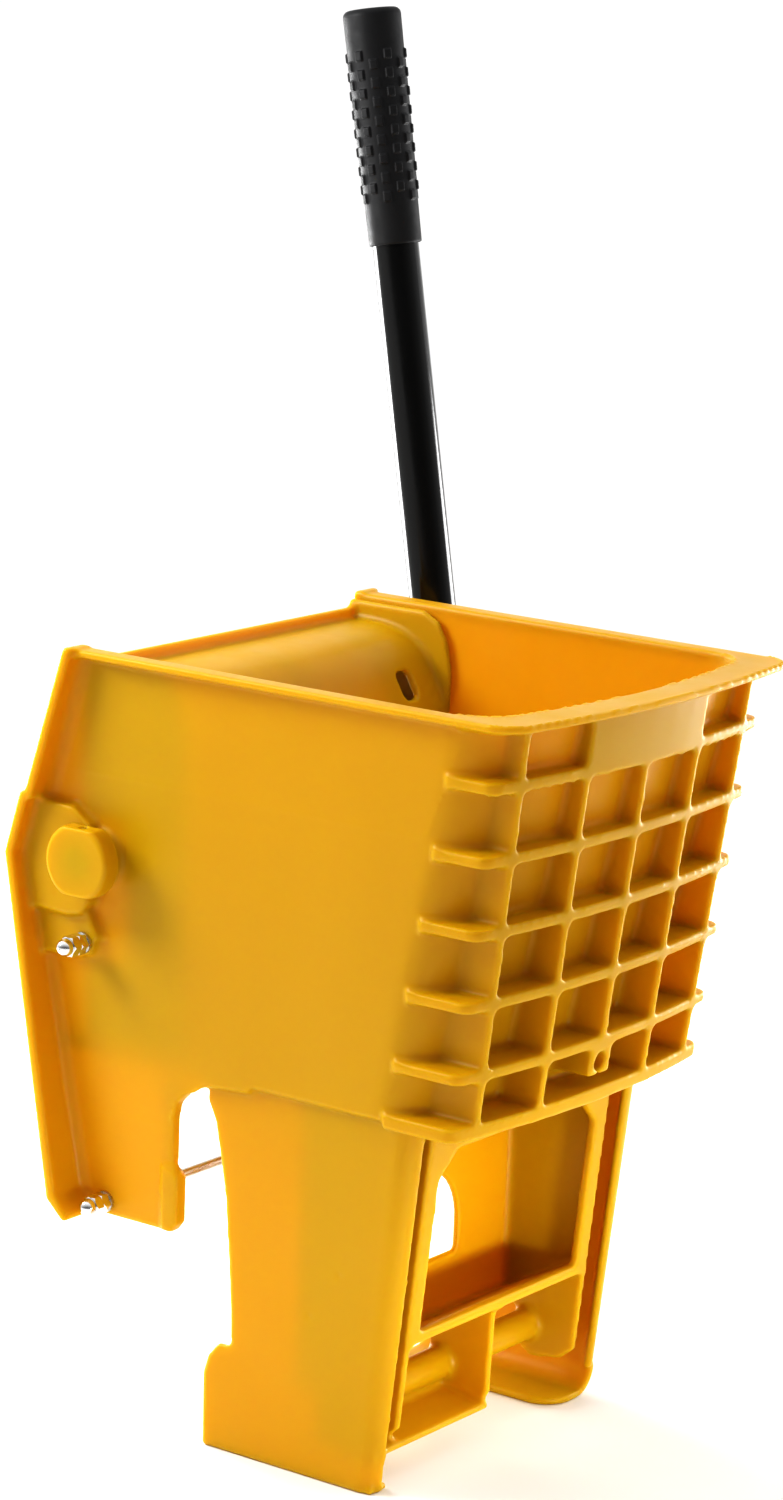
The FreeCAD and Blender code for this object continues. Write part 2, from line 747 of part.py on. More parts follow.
def rack():
    """A straight toothed bar with its teeth down and a gap over the shaft."""
    module = size("gear_module")
    pitch = math.pi * module
    line = size("shaft_z") + module * size("gear_teeth") / 2
    root = line + 1.25 * module
    tip = line - module
    slope = math.tan(math.radians(20))
    half_pitch_width = pitch / 4 - size("backlash") / 4
    back = size("rack_back")
    front = size("rack_front")
    points = [(back, size("rack_top")), (back, root)]
    first = math.ceil((back + 4 - size("shaft_x")) / pitch - 0.5)
    last = math.floor((front - 4 - size("shaft_x")) / pitch - 0.5)
    for number in range(first, last + 1):
        middle = size("shaft_x") + (number + 0.5) * pitch
        wide = half_pitch_width + (root - line) * slope
        narrow = half_pitch_width - (line - tip) * slope
        points += [(middle - wide, root), (middle - narrow, tip),
                   (middle + narrow, tip), (middle + wide, root)]
    points += [(front, root), (front, size("rack_top"))]
    bar = slab(points, 0, size("rack_width"))
    screw = size("screw_radius") + 0.1
    holes = [bar_along_y(screw, x, SCREW_Z, -1, size("rack_width") + 1) for x in SCREW_X]
    return bar.cut(holes)


def mirrored(shape):
    return shape.mirror(V(0, 0, 0), AXIS_Y)


rack_far = rack()
rack_far.translate(V(0, size("rack_inner"), 0))
place(feature("rack_far", rack_far))
place(feature("rack_near", mirrored(rack_far)))


def rack_screws():
    """Pan-head screws that hold the racks to the plate's end walls."""
    screws = []
    for x in SCREW_X:
        shank = bar_along_y(size("screw_radius"), x, SCREW_Z, size("rack_inner") - 0.5, 95.5)
        head = bar_along_y(4, x, SCREW_Z, size("rack_inner") - 2.6, size("rack_inner"))
        edges = [edge for edge in head.Edges if edge.Curve.TypeId == "Part::GeomCircle"
                 and edge.CenterOfMass.y < size("rack_inner") - 1]
        screws += both_sides(head.makeFillet(1.2, edges).fuse(shank))
    return Part.makeCompound(screws)


place(feature("rack_screws", rack_screws()))


# ---------------------------------------------------------------- shaft, gears and lever

def on_shaft(thing, y=0):
    """Put a sub-part made about its own Y axis on the cross shaft."""
    return place(thing, size("shaft_x"), y, size("shaft_z"))


SHAFT_NEAR = -(side_y(size("shaft_z")) + size("boss_proud") + size("bush_flange") + 9)
SHAFT_FAR = size("tube_y") - size("tube_radius") - 1.3
PIN_SPOTS = {"gear": size("gear_inner") + size("gear_width") / 2, "hub": 140}

LEVER_TURN = FreeCAD.Rotation(AXIS_Y, -size("lever_lean"))


def radial_pin(y, length, gap=0.0, turn=None):
    """A pin across the shaft's axis at y."""
    pin = Part.makeCylinder(size("pin_radius") + gap, length, V(0, y, -length / 2), AXIS_Z)
    if turn:
        pin.rotate(V(0, 0, 0), AXIS_Y, turn)
    return pin


def cross_shaft():
    shaft = Part.makeCylinder(size("shaft_radius"), SHAFT_FAR - SHAFT_NEAR, V(0, SHAFT_NEAR, 0), AXIS_Y)
    cuts = [radial_pin(y, 40) for y in (-PIN_SPOTS["gear"], PIN_SPOTS["gear"])]
    cuts.append(radial_pin(PIN_SPOTS["hub"], 60))
    cuts.append(radial_pin(SHAFT_NEAR + 4.5, 60))
    return shaft.cut(cuts)


on_shaft(feature("cross_shaft", cross_shaft()))

gear_far = sector_gear()
gear_far.translate(V(0, size("gear_inner"), 0))
on_shaft(feature("sector_gear_far", gear_far))
on_shaft(feature("sector_gear_near", mirrored(gear_far)))

gear_pin_length = 2 * size("gear_hub_radius") - 4
gear_pins = [radial_pin(y, gear_pin_length) for y in (-PIN_SPOTS["gear"], PIN_SPOTS["gear"])]
on_shaft(feature("gear_pins", Part.makeCompound(gear_pins)))


def shaft_cap():
    """The round head on the shaft's near end, with a flat on its top and bottom."""
    height = size("cap_height")
    outer_end = SHAFT_NEAR - 2
    cap = Part.makeCylinder(size("cap_radius"), height, V(0, outer_end, 0), AXIS_Y)
    rims = [edge for edge in cap.Edges if edge.Curve.TypeId == "Part::GeomCircle"
            and edge.CenterOfMass.y < outer_end + 1]
    cap = cap.makeFillet(2.5, rims)
    flat = size("cap_flat")
    cap = cap.common(box(-30, 30, outer_end - 1, outer_end + height + 1, -flat, flat))
    bore = Part.makeCylinder(size("shaft_radius"), height, V(0, SHAFT_NEAR, 0), AXIS_Y)
    return cap.cut([bore, radial_pin(SHAFT_NEAR + 4.5, 60)])


on_shaft(feature("shaft_cap", shaft_cap()))
on_shaft(feature("cap_pin", radial_pin(SHAFT_NEAR + 4.5, 2 * size("cap_flat") - 2)))


def lever_socket():
    """The hub outside the far wall, with a sleeve for the tube."""
    hub_inner = size("hub_inner")
    tube_y = size("tube_y")
    offset = size("tube_offset")
    radius = size("socket_radius")
    low = size("socket_bottom")
    high = size("socket_top")
    disc_solid = Part.makeCylinder(size("hub_radius"), tube_y - hub_inner, V(0, hub_inner, 0), AXIS_Y)
    sleeve = Part.makeCylinder(radius, high - low, V(offset, tube_y, low), AXIS_Z)
    rims = [edge for edge in sleeve.Edges if edge.Curve.TypeId == "Part::GeomCircle"]
    sleeve = sleeve.makeFillet(2, rims)
    web = box(offset - 3, offset + 3, hub_inner + 8, tube_y, 0, high - 14)
    web = web.makeChamfer(12, [edge for edge in web.Edges if abs(edge.CenterOfMass.z - high + 14) < 0.1
                               and abs(edge.CenterOfMass.y - hub_inner - 8) < 0.1])
    bore = Part.makeCylinder(size("tube_radius") + 0.1, high + 40,
                             V(offset, tube_y, size("tube_bottom")), AXIS_Z)
    shaft = Part.makeCylinder(size("shaft_radius"), SHAFT_FAR - hub_inner + 1,
                              V(0, hub_inner - 1, 0), AXIS_Y)
    bolt = Part.makeCylinder(size("bolt_radius") + 0.1, 60,
                             V(offset - 30, tube_y, size("bolt_height")), AXIS_X)
    socket = disc_solid.fuse([sleeve, web]).cut([bore, shaft, bolt])
    return socket.cut(radial_pin(PIN_SPOTS["hub"], 60, turn=size("lever_lean")))


def on_lever(thing):
    """Put a sub-part made in the lever's own frame on the shaft, leaning back."""
    return place(thing, size("shaft_x"), 0, size("shaft_z"), LEVER_TURN)


on_lever(feature("lever_socket", lever_socket()))
on_shaft(feature("hub_pin", radial_pin(PIN_SPOTS["hub"], 2 * size("hub_radius") - 4)))


def handle_tube():
    length = size("tube_top") - size("tube_bottom")
    base = V(size("tube_offset"), size("tube_y"), size("tube_bottom"))
    outer = Part.makeCylinder(size("tube_radius"), length, base, AXIS_Z)
    inner = Part.makeCylinder(size("tube_radius") - size("tube_wall"), length, base, AXIS_Z)
    bolt = Part.makeCylinder(size("bolt_radius") + 0.1, 60,
                             V(size("tube_offset") - 30, size("tube_y"), size("bolt_height")), AXIS_X)
    return outer.cut([inner, bolt])


on_lever(feature("handle_tube", handle_tube()))


def handle_grip():
    """A tapered sleeve with a closed, rounded top."""
    length = size("grip_length")
    low = size("tube_top") + size("grip_end") - length
    base = V(size("tube_offset"), size("tube_y"), low)
    cone = Part.makeCone(size("grip_bottom_radius"), size("grip_top_radius"), length, base, AXIS_Z)
    top = [edge for edge in cone.Edges if edge.Curve.TypeId == "Part::GeomCircle"
           and edge.CenterOfMass.z > low + length - 1]
    cone = cone.makeFillet(4, top)
    inside = Part.makeCylinder(size("tube_radius"), length - size("grip_end"), base, AXIS_Z)
    return cone.cut(inside)


on_lever(feature("handle_grip", handle_grip()))


def lever_bolt():
    """A hexagon-headed bolt through the socket and the tube, along the lever's own X."""
    radius = size("socket_radius")
    offset = size("tube_offset")
    spot = V(offset, size("tube_y"), size("bolt_height"))
    shank = Part.makeCylinder(size("bolt_radius"), 2 * radius + 9, V(-radius, 0, 0), AXIS_X)
    head = hexagon(13, 5)
    head.rotate(V(0, 0, 0), AXIS_Y, -90)
    head.translate(V(-radius, 0, 0))
    bolt = shank.fuse(head)
    bolt.translate(spot)
    return bolt


def lever_nut():
    nut = hexagon(13, 6).cut(Part.makeCylinder(size("bolt_radius"), 6))
    nut.rotate(V(0, 0, 0), AXIS_Y, 90)
    nut.translate(V(size("tube_offset") + size("socket_radius"), size("tube_y"), size("bolt_height")))
    return nut


on_lever(feature("lever_bolt", lever_bolt()))
on_lever(feature("lever_nut", lever_nut()))


# ---------------------------------------------------------------- return springs

def helix_spring(y):
    """A close-wound extension spring along X, from the upper tie rod to the plate."""
    start = size("upper_rod_x") + 6
    end = size("plate_front") - size("plate_wall") - 9
    radius = size("spring_radius") - size("spring_wire")
    turns = size("spring_turns")
    pitch = (end - start) / turns
    helix = Part.makeHelix(pitch, end - start, radius)
    wire_radius = size("spring_wire")
    profile = Part.Wire(Part.makeCircle(wire_radius, V(radius, 0, 0), AXIS_Y))
    coil = Part.Wire(helix).makePipeShell([profile], True, True)
    coil.rotate(V(0, 0, 0), AXIS_Y, 90)
    coil.translate(V(start, y, size("upper_rod_z")))
    return coil


for label, side in (("return_spring_near", -1), ("return_spring_far", 1)):
    place(feature(label, helix_spring(side * size("spring_y"))))


# ---------------------------------------------------------------- check and write

doc.recompute()
for item in doc.Objects:
    bad = {"Invalid", "Error"} & set(item.State)
    if bad:
        raise RuntimeError(f"{item.Label}: {sorted(bad)}")
for part in parts:
    if part.Shape.isNull() or not part.Shape.isValid():
        raise RuntimeError(f"{part.Label}: the shape is null or not valid")

os.makedirs("parts", exist_ok=True)
for part in parts:
    part.Shape.exportStep(f"parts/{part.Label}.step")
    solids = len(part.Shape.Solids)
    print(f"{part.Label:22s} {solids:3d} solids  {part.Shape.Volume / 1000:9.2f} cm3")
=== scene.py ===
"""The looks of a side-press mop wringer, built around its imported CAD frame."""

import json
import math

import bpy
import numpy as np
import openvdb
from mathutils import Matrix, Vector

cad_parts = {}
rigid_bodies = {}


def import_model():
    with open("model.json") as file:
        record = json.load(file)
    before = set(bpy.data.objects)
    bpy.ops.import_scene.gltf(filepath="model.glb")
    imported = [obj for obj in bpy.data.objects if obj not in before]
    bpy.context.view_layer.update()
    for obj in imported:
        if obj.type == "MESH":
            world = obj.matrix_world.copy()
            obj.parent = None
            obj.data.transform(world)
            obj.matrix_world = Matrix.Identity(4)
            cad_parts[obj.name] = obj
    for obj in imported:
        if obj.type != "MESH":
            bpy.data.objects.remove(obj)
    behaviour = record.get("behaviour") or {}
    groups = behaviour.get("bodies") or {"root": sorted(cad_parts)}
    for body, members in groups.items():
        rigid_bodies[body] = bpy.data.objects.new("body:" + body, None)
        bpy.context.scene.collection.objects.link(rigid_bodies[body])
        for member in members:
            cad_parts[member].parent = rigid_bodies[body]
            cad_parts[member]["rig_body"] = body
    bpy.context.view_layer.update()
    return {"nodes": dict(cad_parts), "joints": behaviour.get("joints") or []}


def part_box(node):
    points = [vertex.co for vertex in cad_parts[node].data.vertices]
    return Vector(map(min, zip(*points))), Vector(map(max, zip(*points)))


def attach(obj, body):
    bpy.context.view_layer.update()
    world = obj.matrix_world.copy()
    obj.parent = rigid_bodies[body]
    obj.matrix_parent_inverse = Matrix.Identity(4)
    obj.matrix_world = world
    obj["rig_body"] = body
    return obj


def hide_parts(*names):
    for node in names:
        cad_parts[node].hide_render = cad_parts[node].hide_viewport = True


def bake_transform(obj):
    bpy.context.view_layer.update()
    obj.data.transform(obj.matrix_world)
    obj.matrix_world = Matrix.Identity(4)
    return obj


MM = 0.001
RELAX_PULL = 0.55
RELAX_PUSH = -0.5

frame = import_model()
NODES = frame["nodes"]
JOINTS = {joint["name"]: joint for joint in frame["joints"]}

# ------------------------------------------------------------------ materials


def new_material(name, colour, roughness, metallic=0.0, **sockets):
    """A material with one Principled shader; sockets are its other plain values."""
    material = bpy.data.materials.new(name)
    material.use_nodes = True
    shader = material.node_tree.nodes["Principled BSDF"]
    shader.inputs["Base Color"].default_value = (*colour, 1)
    shader.inputs["Roughness"].default_value = roughness
    shader.inputs["Metallic"].default_value = metallic
    for socket, value in sockets.items():
        shader.inputs[socket.replace("_", " ")].default_value = value
    return material


def noise(material, scale, detail=3.0, stretch=(1, 1, 1), rough=0.5):
    """Noise over the piece's own metres; stretch squeezes it along an axis."""
    nodes = material.node_tree.nodes
    links = material.node_tree.links
    place = nodes.new("ShaderNodeTexCoord")
    mapping = nodes.new("ShaderNodeMapping")
    mapping.inputs["Scale"].default_value = stretch
    texture = nodes.new("ShaderNodeTexNoise")
    texture.inputs["Scale"].default_value = scale
    texture.inputs["Detail"].default_value = detail
    texture.inputs["Roughness"].default_value = rough
    links.new(place.outputs["Object"], mapping.inputs["Vector"])
    links.new(mapping.outputs["Vector"], texture.inputs["Vector"])
    return texture.outputs["Fac"]


def spread(material, value, low, high, start=0.3, end=0.7):
    """A value between start and end turned into one between low and high."""
    node = material.node_tree.nodes.new("ShaderNodeMapRange")
    node.inputs["From Min"].default_value = start
    node.inputs["From Max"].default_value = end
    node.inputs["To Min"].default_value = low
    node.inputs["To Max"].default_value = high
    material.node_tree.links.new(value, node.inputs["Value"])
    return node.outputs["Result"]


def vary_colour(material, value, dark, light):
    """Base colour between two shades."""
    node = material.node_tree.nodes.new("ShaderNodeMix")
    node.data_type = "RGBA"
    node.inputs["A"].default_value = (*dark, 1)
    node.inputs["B"].default_value = (*light, 1)
    links = material.node_tree.links
    links.new(value, node.inputs["Factor"])
    links.new(node.outputs["Result"], material.node_tree.nodes["Principled BSDF"].inputs["Base Color"])


def vary_roughness(material, value, low, high):
    shader = material.node_tree.nodes["Principled BSDF"]
    material.node_tree.links.new(spread(material, value, low, high), shader.inputs["Roughness"])


def add_bump(material, value, height, strength=1.0):
    """Relief of a height in metres; a second call adds to the first."""
    nodes = material.node_tree.nodes
    links = material.node_tree.links
    normal = nodes["Principled BSDF"].inputs["Normal"]
    bump = nodes.new("ShaderNodeBump")
    bump.inputs["Strength"].default_value = strength
    bump.inputs["Distance"].default_value = height
    links.new(value, bump.inputs["Height"])
    if normal.is_linked:
        links.new(normal.links[0].from_socket, bump.inputs["Normal"])
    links.new(bump.outputs["Normal"], normal)


def yellow_plastic():
    """Satin moulded polypropylene: slight flow marks, a fine skin and handling scratches."""
    material = new_material("yellow_polypropylene", (0.56, 0.325, 0.004), 0.38,
                            Subsurface_Weight=0.75, Subsurface_Scale=0.013,
                            Subsurface_Radius=(1.0, 0.75, 0.1), IOR=1.49, Specular_IOR_Level=0.22)
    flow = noise(material, 7, 2.0, stretch=(1, 1, 0.4))
    vary_colour(material, spread(material, flow, 0, 1), (0.545, 0.312, 0.003), (0.575, 0.338, 0.005))
    vary_roughness(material, noise(material, 38, 4.0), 0.33, 0.45)
    add_bump(material, noise(material, 26, 2.0), 0.0009, 0.12)
    add_bump(material, noise(material, 1400, 2.0), 0.00006, 0.25)
    scuffs = noise(material, 420, 4.0, stretch=(0.05, 0.05, 1), rough=0.7)
    add_bump(material, spread(material, scuffs, 0, 1, 0.66, 0.72), 0.00004, 0.25)
    return material


def black_rubber():
    material = new_material("black_rubber", (0.009, 0.009, 0.010), 0.55, Specular_IOR_Level=0.35)
    vary_colour(material, noise(material, 45, 4.0), (0.007, 0.007, 0.008), (0.013, 0.013, 0.014))
    vary_roughness(material, noise(material, 160, 4.0), 0.48, 0.64)
    add_bump(material, noise(material, 2600, 3.0), 0.00005, 0.5)
    return material


def black_enamel():
    material = new_material("black_enamel", (0.006, 0.006, 0.006), 0.16, IOR=1.45)
    vary_roughness(material, noise(material, 60, 4.0, stretch=(1, 1, 0.2)), 0.10, 0.20)
    add_bump(material, noise(material, 320, 2.0), 0.00003, 0.35)
    return material


def plated_steel(name, colour, low, high, grain):
    """Bright metal with fine turning lines."""
    material = new_material(name, colour, low, metallic=1.0)
    vary_roughness(material, noise(material, 900, 3.0, stretch=grain), low, high)
    add_bump(material, noise(material, 2200, 2.0, stretch=grain), 0.00002, 0.3)
    return material


def white_nylon():
    material = new_material("white_nylon", (0.78, 0.77, 0.71), 0.42, IOR=1.53,
                            Subsurface_Weight=0.15, Subsurface_Scale=0.003)
    vary_roughness(material, noise(material, 80, 3.0), 0.36, 0.5)
    add_bump(material, noise(material, 1500, 2.0), 0.00005, 0.25)
    return material


YELLOW = yellow_plastic()
RUBBER = black_rubber()
ENAMEL = black_enamel()
CHROME = plated_steel("bright_chrome", (0.80, 0.80, 0.79), 0.08, 0.16, (1, 0.1, 1))
ZINC = plated_steel("zinc_plate", (0.62, 0.62, 0.60), 0.24, 0.36, (1, 0.08, 1))
SPRING_STEEL = plated_steel("spring_steel", (0.50, 0.50, 0.49), 0.22, 0.34, (0.1, 1, 1))
NYLON = white_nylon()

CAD_FINISH = {
    "bearing_bush_near": NYLON, "bearing_bush_far": NYLON,
    "sector_gear_near": NYLON, "sector_gear_far": NYLON,
    "rack_near": NYLON, "rack_far": NYLON,
    "upper_tie_rod": ZINC, "lower_tie_rod": ZINC, "rod_washers": ZINC,
    "rod_nuts": CHROME, "acorn_nuts": CHROME,
    "rack_screws": ZINC, "cross_shaft": ZINC, "gear_pins": ZINC, "cap_pin": ZINC,
    "hub_pin": ZINC, "lever_bolt": ZINC, "lever_nut": ZINC,
    "handle_tube": ENAMEL,
}

# ------------------------------------------------------------------ mesh helpers


def new_piece(name, mesh, material):
    """A smooth object in the scene for a mesh."""
    mesh.materials.append(material)
    mesh.shade_smooth()
    piece = bpy.data.objects.new(name, mesh)
    bpy.context.scene.collection.objects.link(piece)
    return piece


def piece_of_faces(name, points, faces, material):
    """A smooth object from a list of points and faces."""
    mesh = bpy.data.meshes.new(name)
    mesh.from_pydata([tuple(p) for p in points], [], faces)
    return new_piece(name, mesh, material)


def surface_arrays(mesh):
    """A mesh's points and triangles."""
    mesh.calc_loop_triangles()
    points = np.zeros(len(mesh.vertices) * 3, np.float32)
    mesh.vertices.foreach_get("co", points)
    triangles = np.zeros(len(mesh.loop_triangles) * 3, np.int32)
    mesh.loop_triangles.foreach_get("vertices", triangles)
    return points.reshape(-1, 3), triangles.reshape(-1, 3)


def offset_surface(points, distance, voxel, triangles=None, quads=None):
    """The surface a distance outside (or inside, if negative) a closed surface."""
    faces = {"quads": quads} if triangles is None else {"triangles": triangles}
    grid = openvdb.FloatGrid.createLevelSetFromPolygons(
        points, transform=openvdb.createLinearTransform(voxelSize=voxel),
        halfWidth=abs(distance) / voxel + 2.5, **faces)
    points, _, quads = grid.convertToPolygons(isovalue=distance, adaptivity=0.0)
    return points, quads


def relaxed(points, quads, rounds):
    """Points moved towards their neighbours' mean and back again, which keeps the size."""
    a = quads.ravel()
    b = np.roll(quads, -1, axis=1).ravel()
    count = np.bincount(a, minlength=len(points)).astype(np.float64)[:, None]
    points = points.astype(np.float64)
    for step in range(rounds):
        total = np.empty_like(points)
        for axis in range(3):
            total[:, axis] = np.bincount(a, weights=points[b, axis], minlength=len(points))
        pull = RELAX_PULL if step % 2 == 0 else RELAX_PUSH
        points = points + pull * (total / count - points)
    return points


def moulded(node, name, voxel, fillet, edge, extra=(), shape=None, rounds=8):
    """A CAD node's shape with filleted inside corners and rounded edges, as a mould leaves it."""
    points, triangles = surface_arrays(NODES[node].data)
    for more_points, more_triangles in extra:
        triangles = np.concatenate([triangles, more_triangles + len(points)])
        points = np.concatenate([points, more_points])
    points, quads = offset_surface(points, fillet, voxel, triangles=triangles.astype(np.int32))
    points, quads = offset_surface(points, -fillet - edge, voxel, quads=quads)
    if edge:
        points, quads = offset_surface(points, edge, voxel, quads=quads)
    points = relaxed(points, quads, rounds)
    if shape:
        points = shape(points)
    mesh = bpy.data.meshes.new(name)
    mesh.vertices.add(len(points))
    mesh.vertices.foreach_set("co", points.astype(np.float32).ravel())
    mesh.loops.add(quads.size)
    mesh.loops.foreach_set("vertex_index", quads[:, ::-1].astype(np.int32).ravel())
    mesh.polygons.add(len(quads))
    mesh.polygons.foreach_set("loop_start", np.arange(0, quads.size, 4, dtype=np.int32))
    mesh.update(calc_edges=True)
    piece = new_piece(name, mesh, YELLOW)
    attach(piece, NODES[node]["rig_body"])
    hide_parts(node)


# ------------------------------------------------------------------ basket

PIVOT = Vector(JOINTS["lever_pivot"]["pos_m"])
RIM_TOP_Z = 0.410
WALL_TOP_Y = 0.118
WALL_DRAFT = 0.0402
BACK_X = PIVOT.x - 0.015


def wall_y(z):
    """How far the side walls' outer faces stand from the middle, at a height."""
    return WALL_TOP_Y - (RIM_TOP_Z - z) * WALL_DRAFT


def lip_fillet(side, radius=0.0075, steps=8):
    """The soft corner between a back lip and its wall, as a closed bar."""
    path = [(0.0095, 0.1135), (0.002, 0.1235), (-0.031, 0.300), (-0.0225, 0.330), (-0.0195, 0.3302),
            (0.0040, 0.4065)]
    section = [(-0.003, -0.003), (radius, -0.003), (radius, -0.0002)]
    for i in range(1, steps):
        angle = math.pi / 2 * i / steps
        section.append((radius - radius * math.sin(angle), radius - radius * math.cos(angle)))
    section += [(-0.0002, radius), (-0.003, radius)]
    rings = []
    for x, z in path:
        rings += [(BACK_X + x + across, side * (wall_y(z) + out), z) for across, out in section]
    wide = len(section)
    triangles = []
    for row in range(len(path) - 1):
        for i in range(wide):
            j = (i + 1) % wide
            a, b = row * wide + i, row * wide + j
            triangles += [(a, b, b + wide), (a, b + wide, a + wide)]
    last = (len(path) - 1) * wide
    for i in range(1, wide - 1):
        triangles += [(0, i + 1, i), (last, last + i, last + i + 1)]
    triangles = np.array(triangles, np.int32)
    if side > 0:
        triangles = triangles[:, ::-1]
    return np.array(rings, np.float32), triangles


def gate_marks(points):
    """Small dimples where the mould's gates met the leg."""
    for x, z in ((0.030, 0.112), (0.012, 0.086)):
        away = np.hypot(points[:, 0] - x, points[:, 2] - z)
        outside = np.abs(points[:, 1]) > 0.09
        depth = 0.0005 * np.exp(-(away / 0.0018) ** 2) * outside
        points[:, 1] -= np.sign(points[:, 1]) * depth
    return points


moulded("basket", "basket_moulding", 0.9 * MM, 2.4 * MM, 0.9 * MM,
        extra=[lip_fillet(-1), lip_fillet(1)], shape=gate_marks)
moulded("press_plate", "press_plate_moulding", 0.9 * MM, 2.4 * MM, 0.9 * MM)
moulded("shaft_cap", "shaft_cap_moulding", 0.4 * MM, 0.6 * MM, 0.5 * MM)

# ------------------------------------------------------------------ lever grip

LEAN = math.radians(10.1)
LEVER = Matrix.Translation(PIVOT) @ Matrix.Rotation(-LEAN, 4, "Y")
TUBE_AXIS = Vector((0.012, 0.174, 0))
GRIP_TOP = 0.423
GRIP_LENGTH = 0.129
TOP_ROUND = 0.0038
FOOT_ROUND = 0.0012


def grip_radius(height):
    """The sleeve's radius, with a rounded edge at its top and bottom."""
    along = height / GRIP_LENGTH
    radius = 0.0155 + 0.0015 * along - 0.0009
    over = height - (GRIP_LENGTH - TOP_ROUND)
    if over > 0:
        radius -= TOP_ROUND - math.sqrt(max(0.0, TOP_ROUND ** 2 - over ** 2))
    under = FOOT_ROUND - height
    if under > 0:
        radius -= FOOT_ROUND - math.sqrt(max(0.0, FOOT_ROUND ** 2 - under ** 2))
    return radius


def soft_step(distance, edge):
    """1 inside, 0 outside, with a soft edge."""
    t = np.clip((edge / 2 - distance) / edge, 0, 1)
    return t * t * (3 - 2 * t)


def nub_height(angle, height):
    """Staggered raised blocks, 12 columns of 8 round the middle of the grip."""
    columns = 12
    last_row = 7
    pitch = 0.0103
    first = 0.0262
    rise = 0.0011
    soft = 0.0009
    column = np.round(angle / (2 * math.pi / columns))
    across = np.abs(angle - column * 2 * math.pi / columns) * 0.0165 - 0.0022
    shift = (column % 2) * pitch / 2
    row = np.round((height - first - shift) / pitch)
    along = np.abs(height - first - shift - row * pitch) - 0.0026
    inside = (row >= 0) & (row <= last_row)
    return rise * soft_step(across, soft) * soft_step(along, soft) * inside


def lever_grip():
    around = 288
    heights = list(np.linspace(0, FOOT_ROUND, 4))
    heights += list(np.arange(0.0018, GRIP_LENGTH - 0.004, 0.00042))
    heights += [GRIP_LENGTH - TOP_ROUND * (1 - math.sin(math.pi / 2 * i / 9)) for i in range(10)]
    angles = np.arange(around) * 2 * math.pi / around
    points = []
    for height in heights:
        radius = grip_radius(height) + nub_height(angles, height)
        ring = np.stack([radius * np.cos(angles), radius * np.sin(angles), np.full(around, height)], 1)
        points.append(ring)
    rows = len(heights)
    inner = 0.0128
    for radius, height in ((inner, 0.0), (inner, GRIP_LENGTH - 0.003)):
        points.append(np.stack([radius * np.cos(angles), radius * np.sin(angles),
                                np.full(around, height)], 1))
    points = np.concatenate(points)
    faces = []
    for row in range(rows - 1):
        for i in range(around):
            j = (i + 1) % around
            a, b = row * around + i, row * around + j
            faces.append((a, b, b + around, a + around))
    bottom = rows * around
    for i in range(around):
        j = (i + 1) % around
        faces.append((j, i, bottom + i, bottom + j))
        faces.append((bottom + j, bottom + i, bottom + around + i, bottom + around + j))
    faces.append(tuple((rows - 1) * around + i for i in range(around)))
    faces.append(tuple(bottom + around + i for i in reversed(range(around))))
    points[:, 2] += GRIP_TOP - GRIP_LENGTH
    placed = [LEVER @ (Vector(p) + TUBE_AXIS) for p in points]
    grip = piece_of_faces("ribbed_grip", placed, faces, RUBBER)
    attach(grip, "lever")
    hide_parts("handle_grip")


lever_grip()

# ------------------------------------------------------------------ lever socket and springs

moulded("lever_socket", "lever_socket_moulding", 0.7 * MM, 2.0 * MM, 0.9 * MM)


def spring(node):
    """A close-wound extension spring."""
    low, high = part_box(node)
    middle = (low + high) / 2
    coil = (high.z - low.z) / 2 - 0.0008
    wire = 0.0008
    turns = 20
    route = []
    for i in range(turns * 24 + 1):
        angle = 2 * math.pi * i / 24
        along = low.x + 0.001 + (high.x - low.x - 0.002) * i / (turns * 24)
        route.append(Vector((along, middle.y + coil * math.cos(angle), middle.z + coil * math.sin(angle))))
    around = 10
    points, faces = [], []
    for i, at in enumerate(route):
        ahead = route[min(i + 1, len(route) - 1)] - route[max(i - 1, 0)]
        ahead.normalize()
        out = (at - Vector((at.x, middle.y, middle.z))).normalized()
        up = ahead.cross(out).normalized()
        out = up.cross(ahead)
        for k in range(around):
            angle = 2 * math.pi * k / around
            points.append(at + wire * (math.cos(angle) * out + math.sin(angle) * up))
    for i in range(len(route) - 1):
        for k in range(around):
            a, b = i * around + k, i * around + (k + 1) % around
            faces.append((a, b, b + around, a + around))
    faces.append(tuple(reversed(range(around))))
    last = (len(route) - 1) * around
    faces.append(tuple(last + k for k in range(around)))
    piece = piece_of_faces(node + "_coil", points, faces, SPRING_STEEL)
    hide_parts(node)
    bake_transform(piece)


spring("return_spring_near")
spring("return_spring_far")

for node, material in CAD_FINISH.items():
    slots = NODES[node].data.materials
    for index in range(len(slots)):
        slots[index] = material

# ------------------------------------------------------------------ floor, light and camera


def studio_floor():
    """A large pale floor under the foot."""
    half = 40.0
    mesh = bpy.data.meshes.new("studio_floor")
    mesh.from_pydata([(-half, -half, 0), (half, -half, 0), (half, half, 0), (-half, half, 0)], [],
                     [(0, 1, 2, 3)])
    floor = bpy.data.objects.new("studio_floor", mesh)
    bpy.context.scene.collection.objects.link(floor)
    floor.data.materials.append(new_material("pale_floor", (0.93, 0.93, 0.925), 0.9))


def area_light(name, place, target, width, power, beam_degrees=180):
    data = bpy.data.lights.new(name, "AREA")
    data.shape = "DISK"
    data.size = width
    data.energy = power
    data.spread = math.radians(beam_degrees)
    light = bpy.data.objects.new(name, data)
    light.location = place
    light.rotation_euler = (Vector(target) - Vector(place)).to_track_quat("-Z", "Y").to_euler()
    bpy.context.scene.collection.objects.link(light)


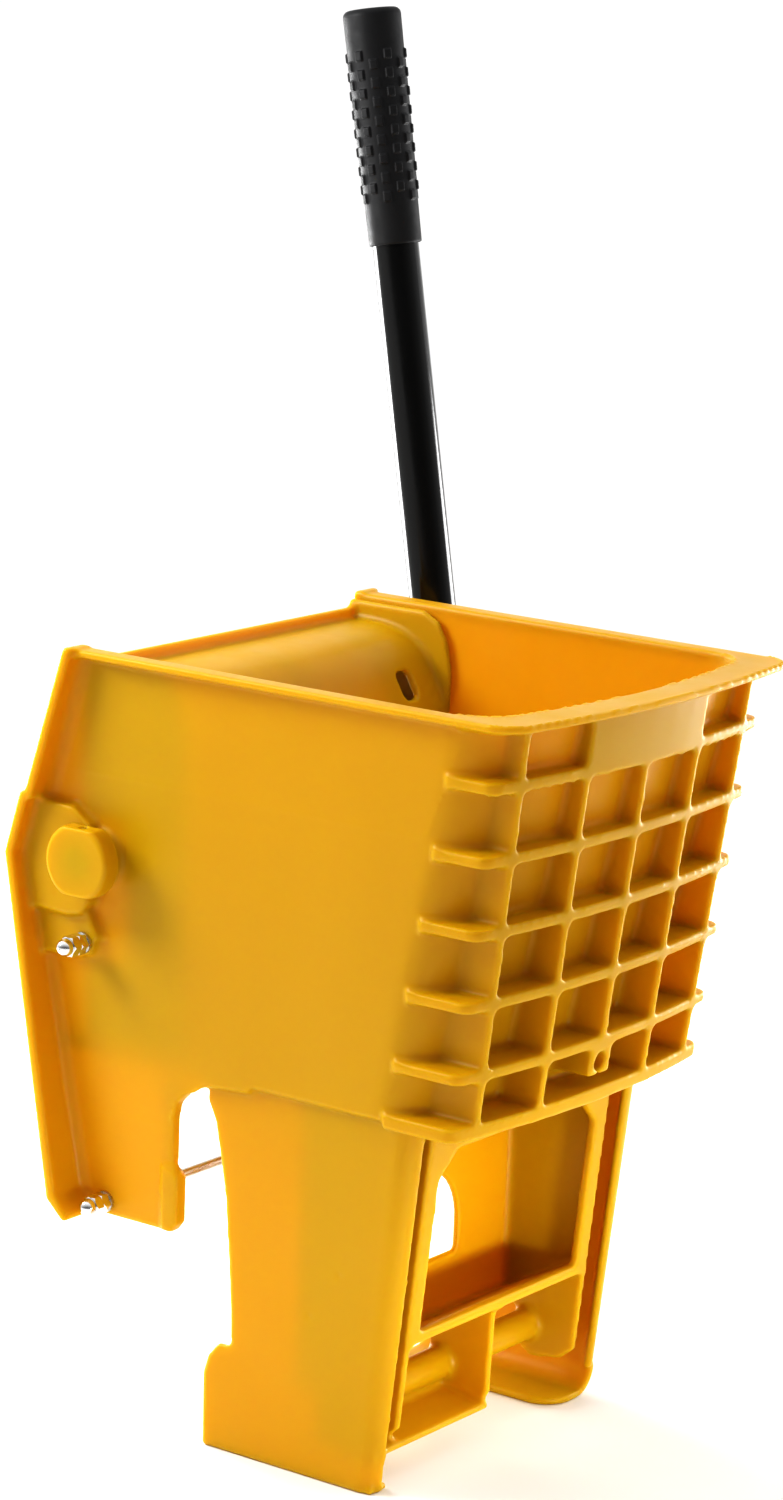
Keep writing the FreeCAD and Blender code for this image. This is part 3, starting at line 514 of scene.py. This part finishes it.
def studio_light():
    world = bpy.data.worlds.new("studio")
    world.use_nodes = True
    nodes = world.node_tree.nodes
    links = world.node_tree.links
    direction = nodes.new("ShaderNodeTexCoord")
    facing = nodes.new("ShaderNodeVectorMath")
    facing.operation = "DOT_PRODUCT"
    facing.inputs[1].default_value = (-0.38, 0.55, 0.74)
    level = nodes.new("ShaderNodeMapRange")
    level.interpolation_type = "SMOOTHSTEP"
    level.inputs["From Min"].default_value = -0.6
    level.inputs["From Max"].default_value = 0.6
    level.inputs["To Min"].default_value = 0.10
    level.inputs["To Max"].default_value = 0.9
    links.new(direction.outputs["Generated"], facing.inputs[0])
    links.new(facing.outputs["Value"], level.inputs["Value"])
    links.new(level.outputs["Result"], nodes["Background"].inputs["Strength"])
    nodes["Background"].inputs["Color"].default_value = (1, 1, 1, 1)
    bpy.context.scene.world = world
    area_light("key", (-0.70, -0.52, 0.88), (-0.10, 0, 0.38), 0.45, 7)
    area_light("back", (-1.2, 0.3, 0.3), (0, 0, 0.12), 0.6, 12)
    area_light("far", (0.25, 1.2, 0.25), (0, 0, 0.2), 0.6, 8)
    area_light("leg", (0.85, -0.22, 0.07), (0, 0.02, 0.10), 0.16, 0.12, 24)


def photo_camera():
    """Stands where the wringer is seen, a little above it and to its near front corner."""
    azimuth = math.radians(35.93)
    height = math.radians(12.02)
    roll = math.radians(2.21)
    target = Vector((-0.0247, 0, 0.3564))
    back = Vector((math.sin(azimuth) * math.cos(height), -math.cos(azimuth) * math.cos(height),
                   math.sin(height)))
    right = Vector((math.cos(azimuth), math.sin(azimuth), 0))
    up = back.cross(right)
    turned_right = right * math.cos(roll) + up * math.sin(roll)
    turned_up = up * math.cos(roll) - right * math.sin(roll)
    data = bpy.data.cameras.new("photo_camera")
    data.lens = 104.04
    data.sensor_width = 36
    camera = bpy.data.objects.new("photo_camera", data)
    turn = Matrix((turned_right, turned_up, back)).transposed().to_4x4()
    camera.matrix_world = Matrix.Translation(target + back * 2.2262) @ turn
    bpy.context.scene.collection.objects.link(camera)
    bpy.context.scene.camera = camera


studio_floor()
studio_light()
photo_camera()
bpy.context.scene.view_settings.view_transform = "Standard"
bpy.context.scene.view_settings.look = "High Contrast"
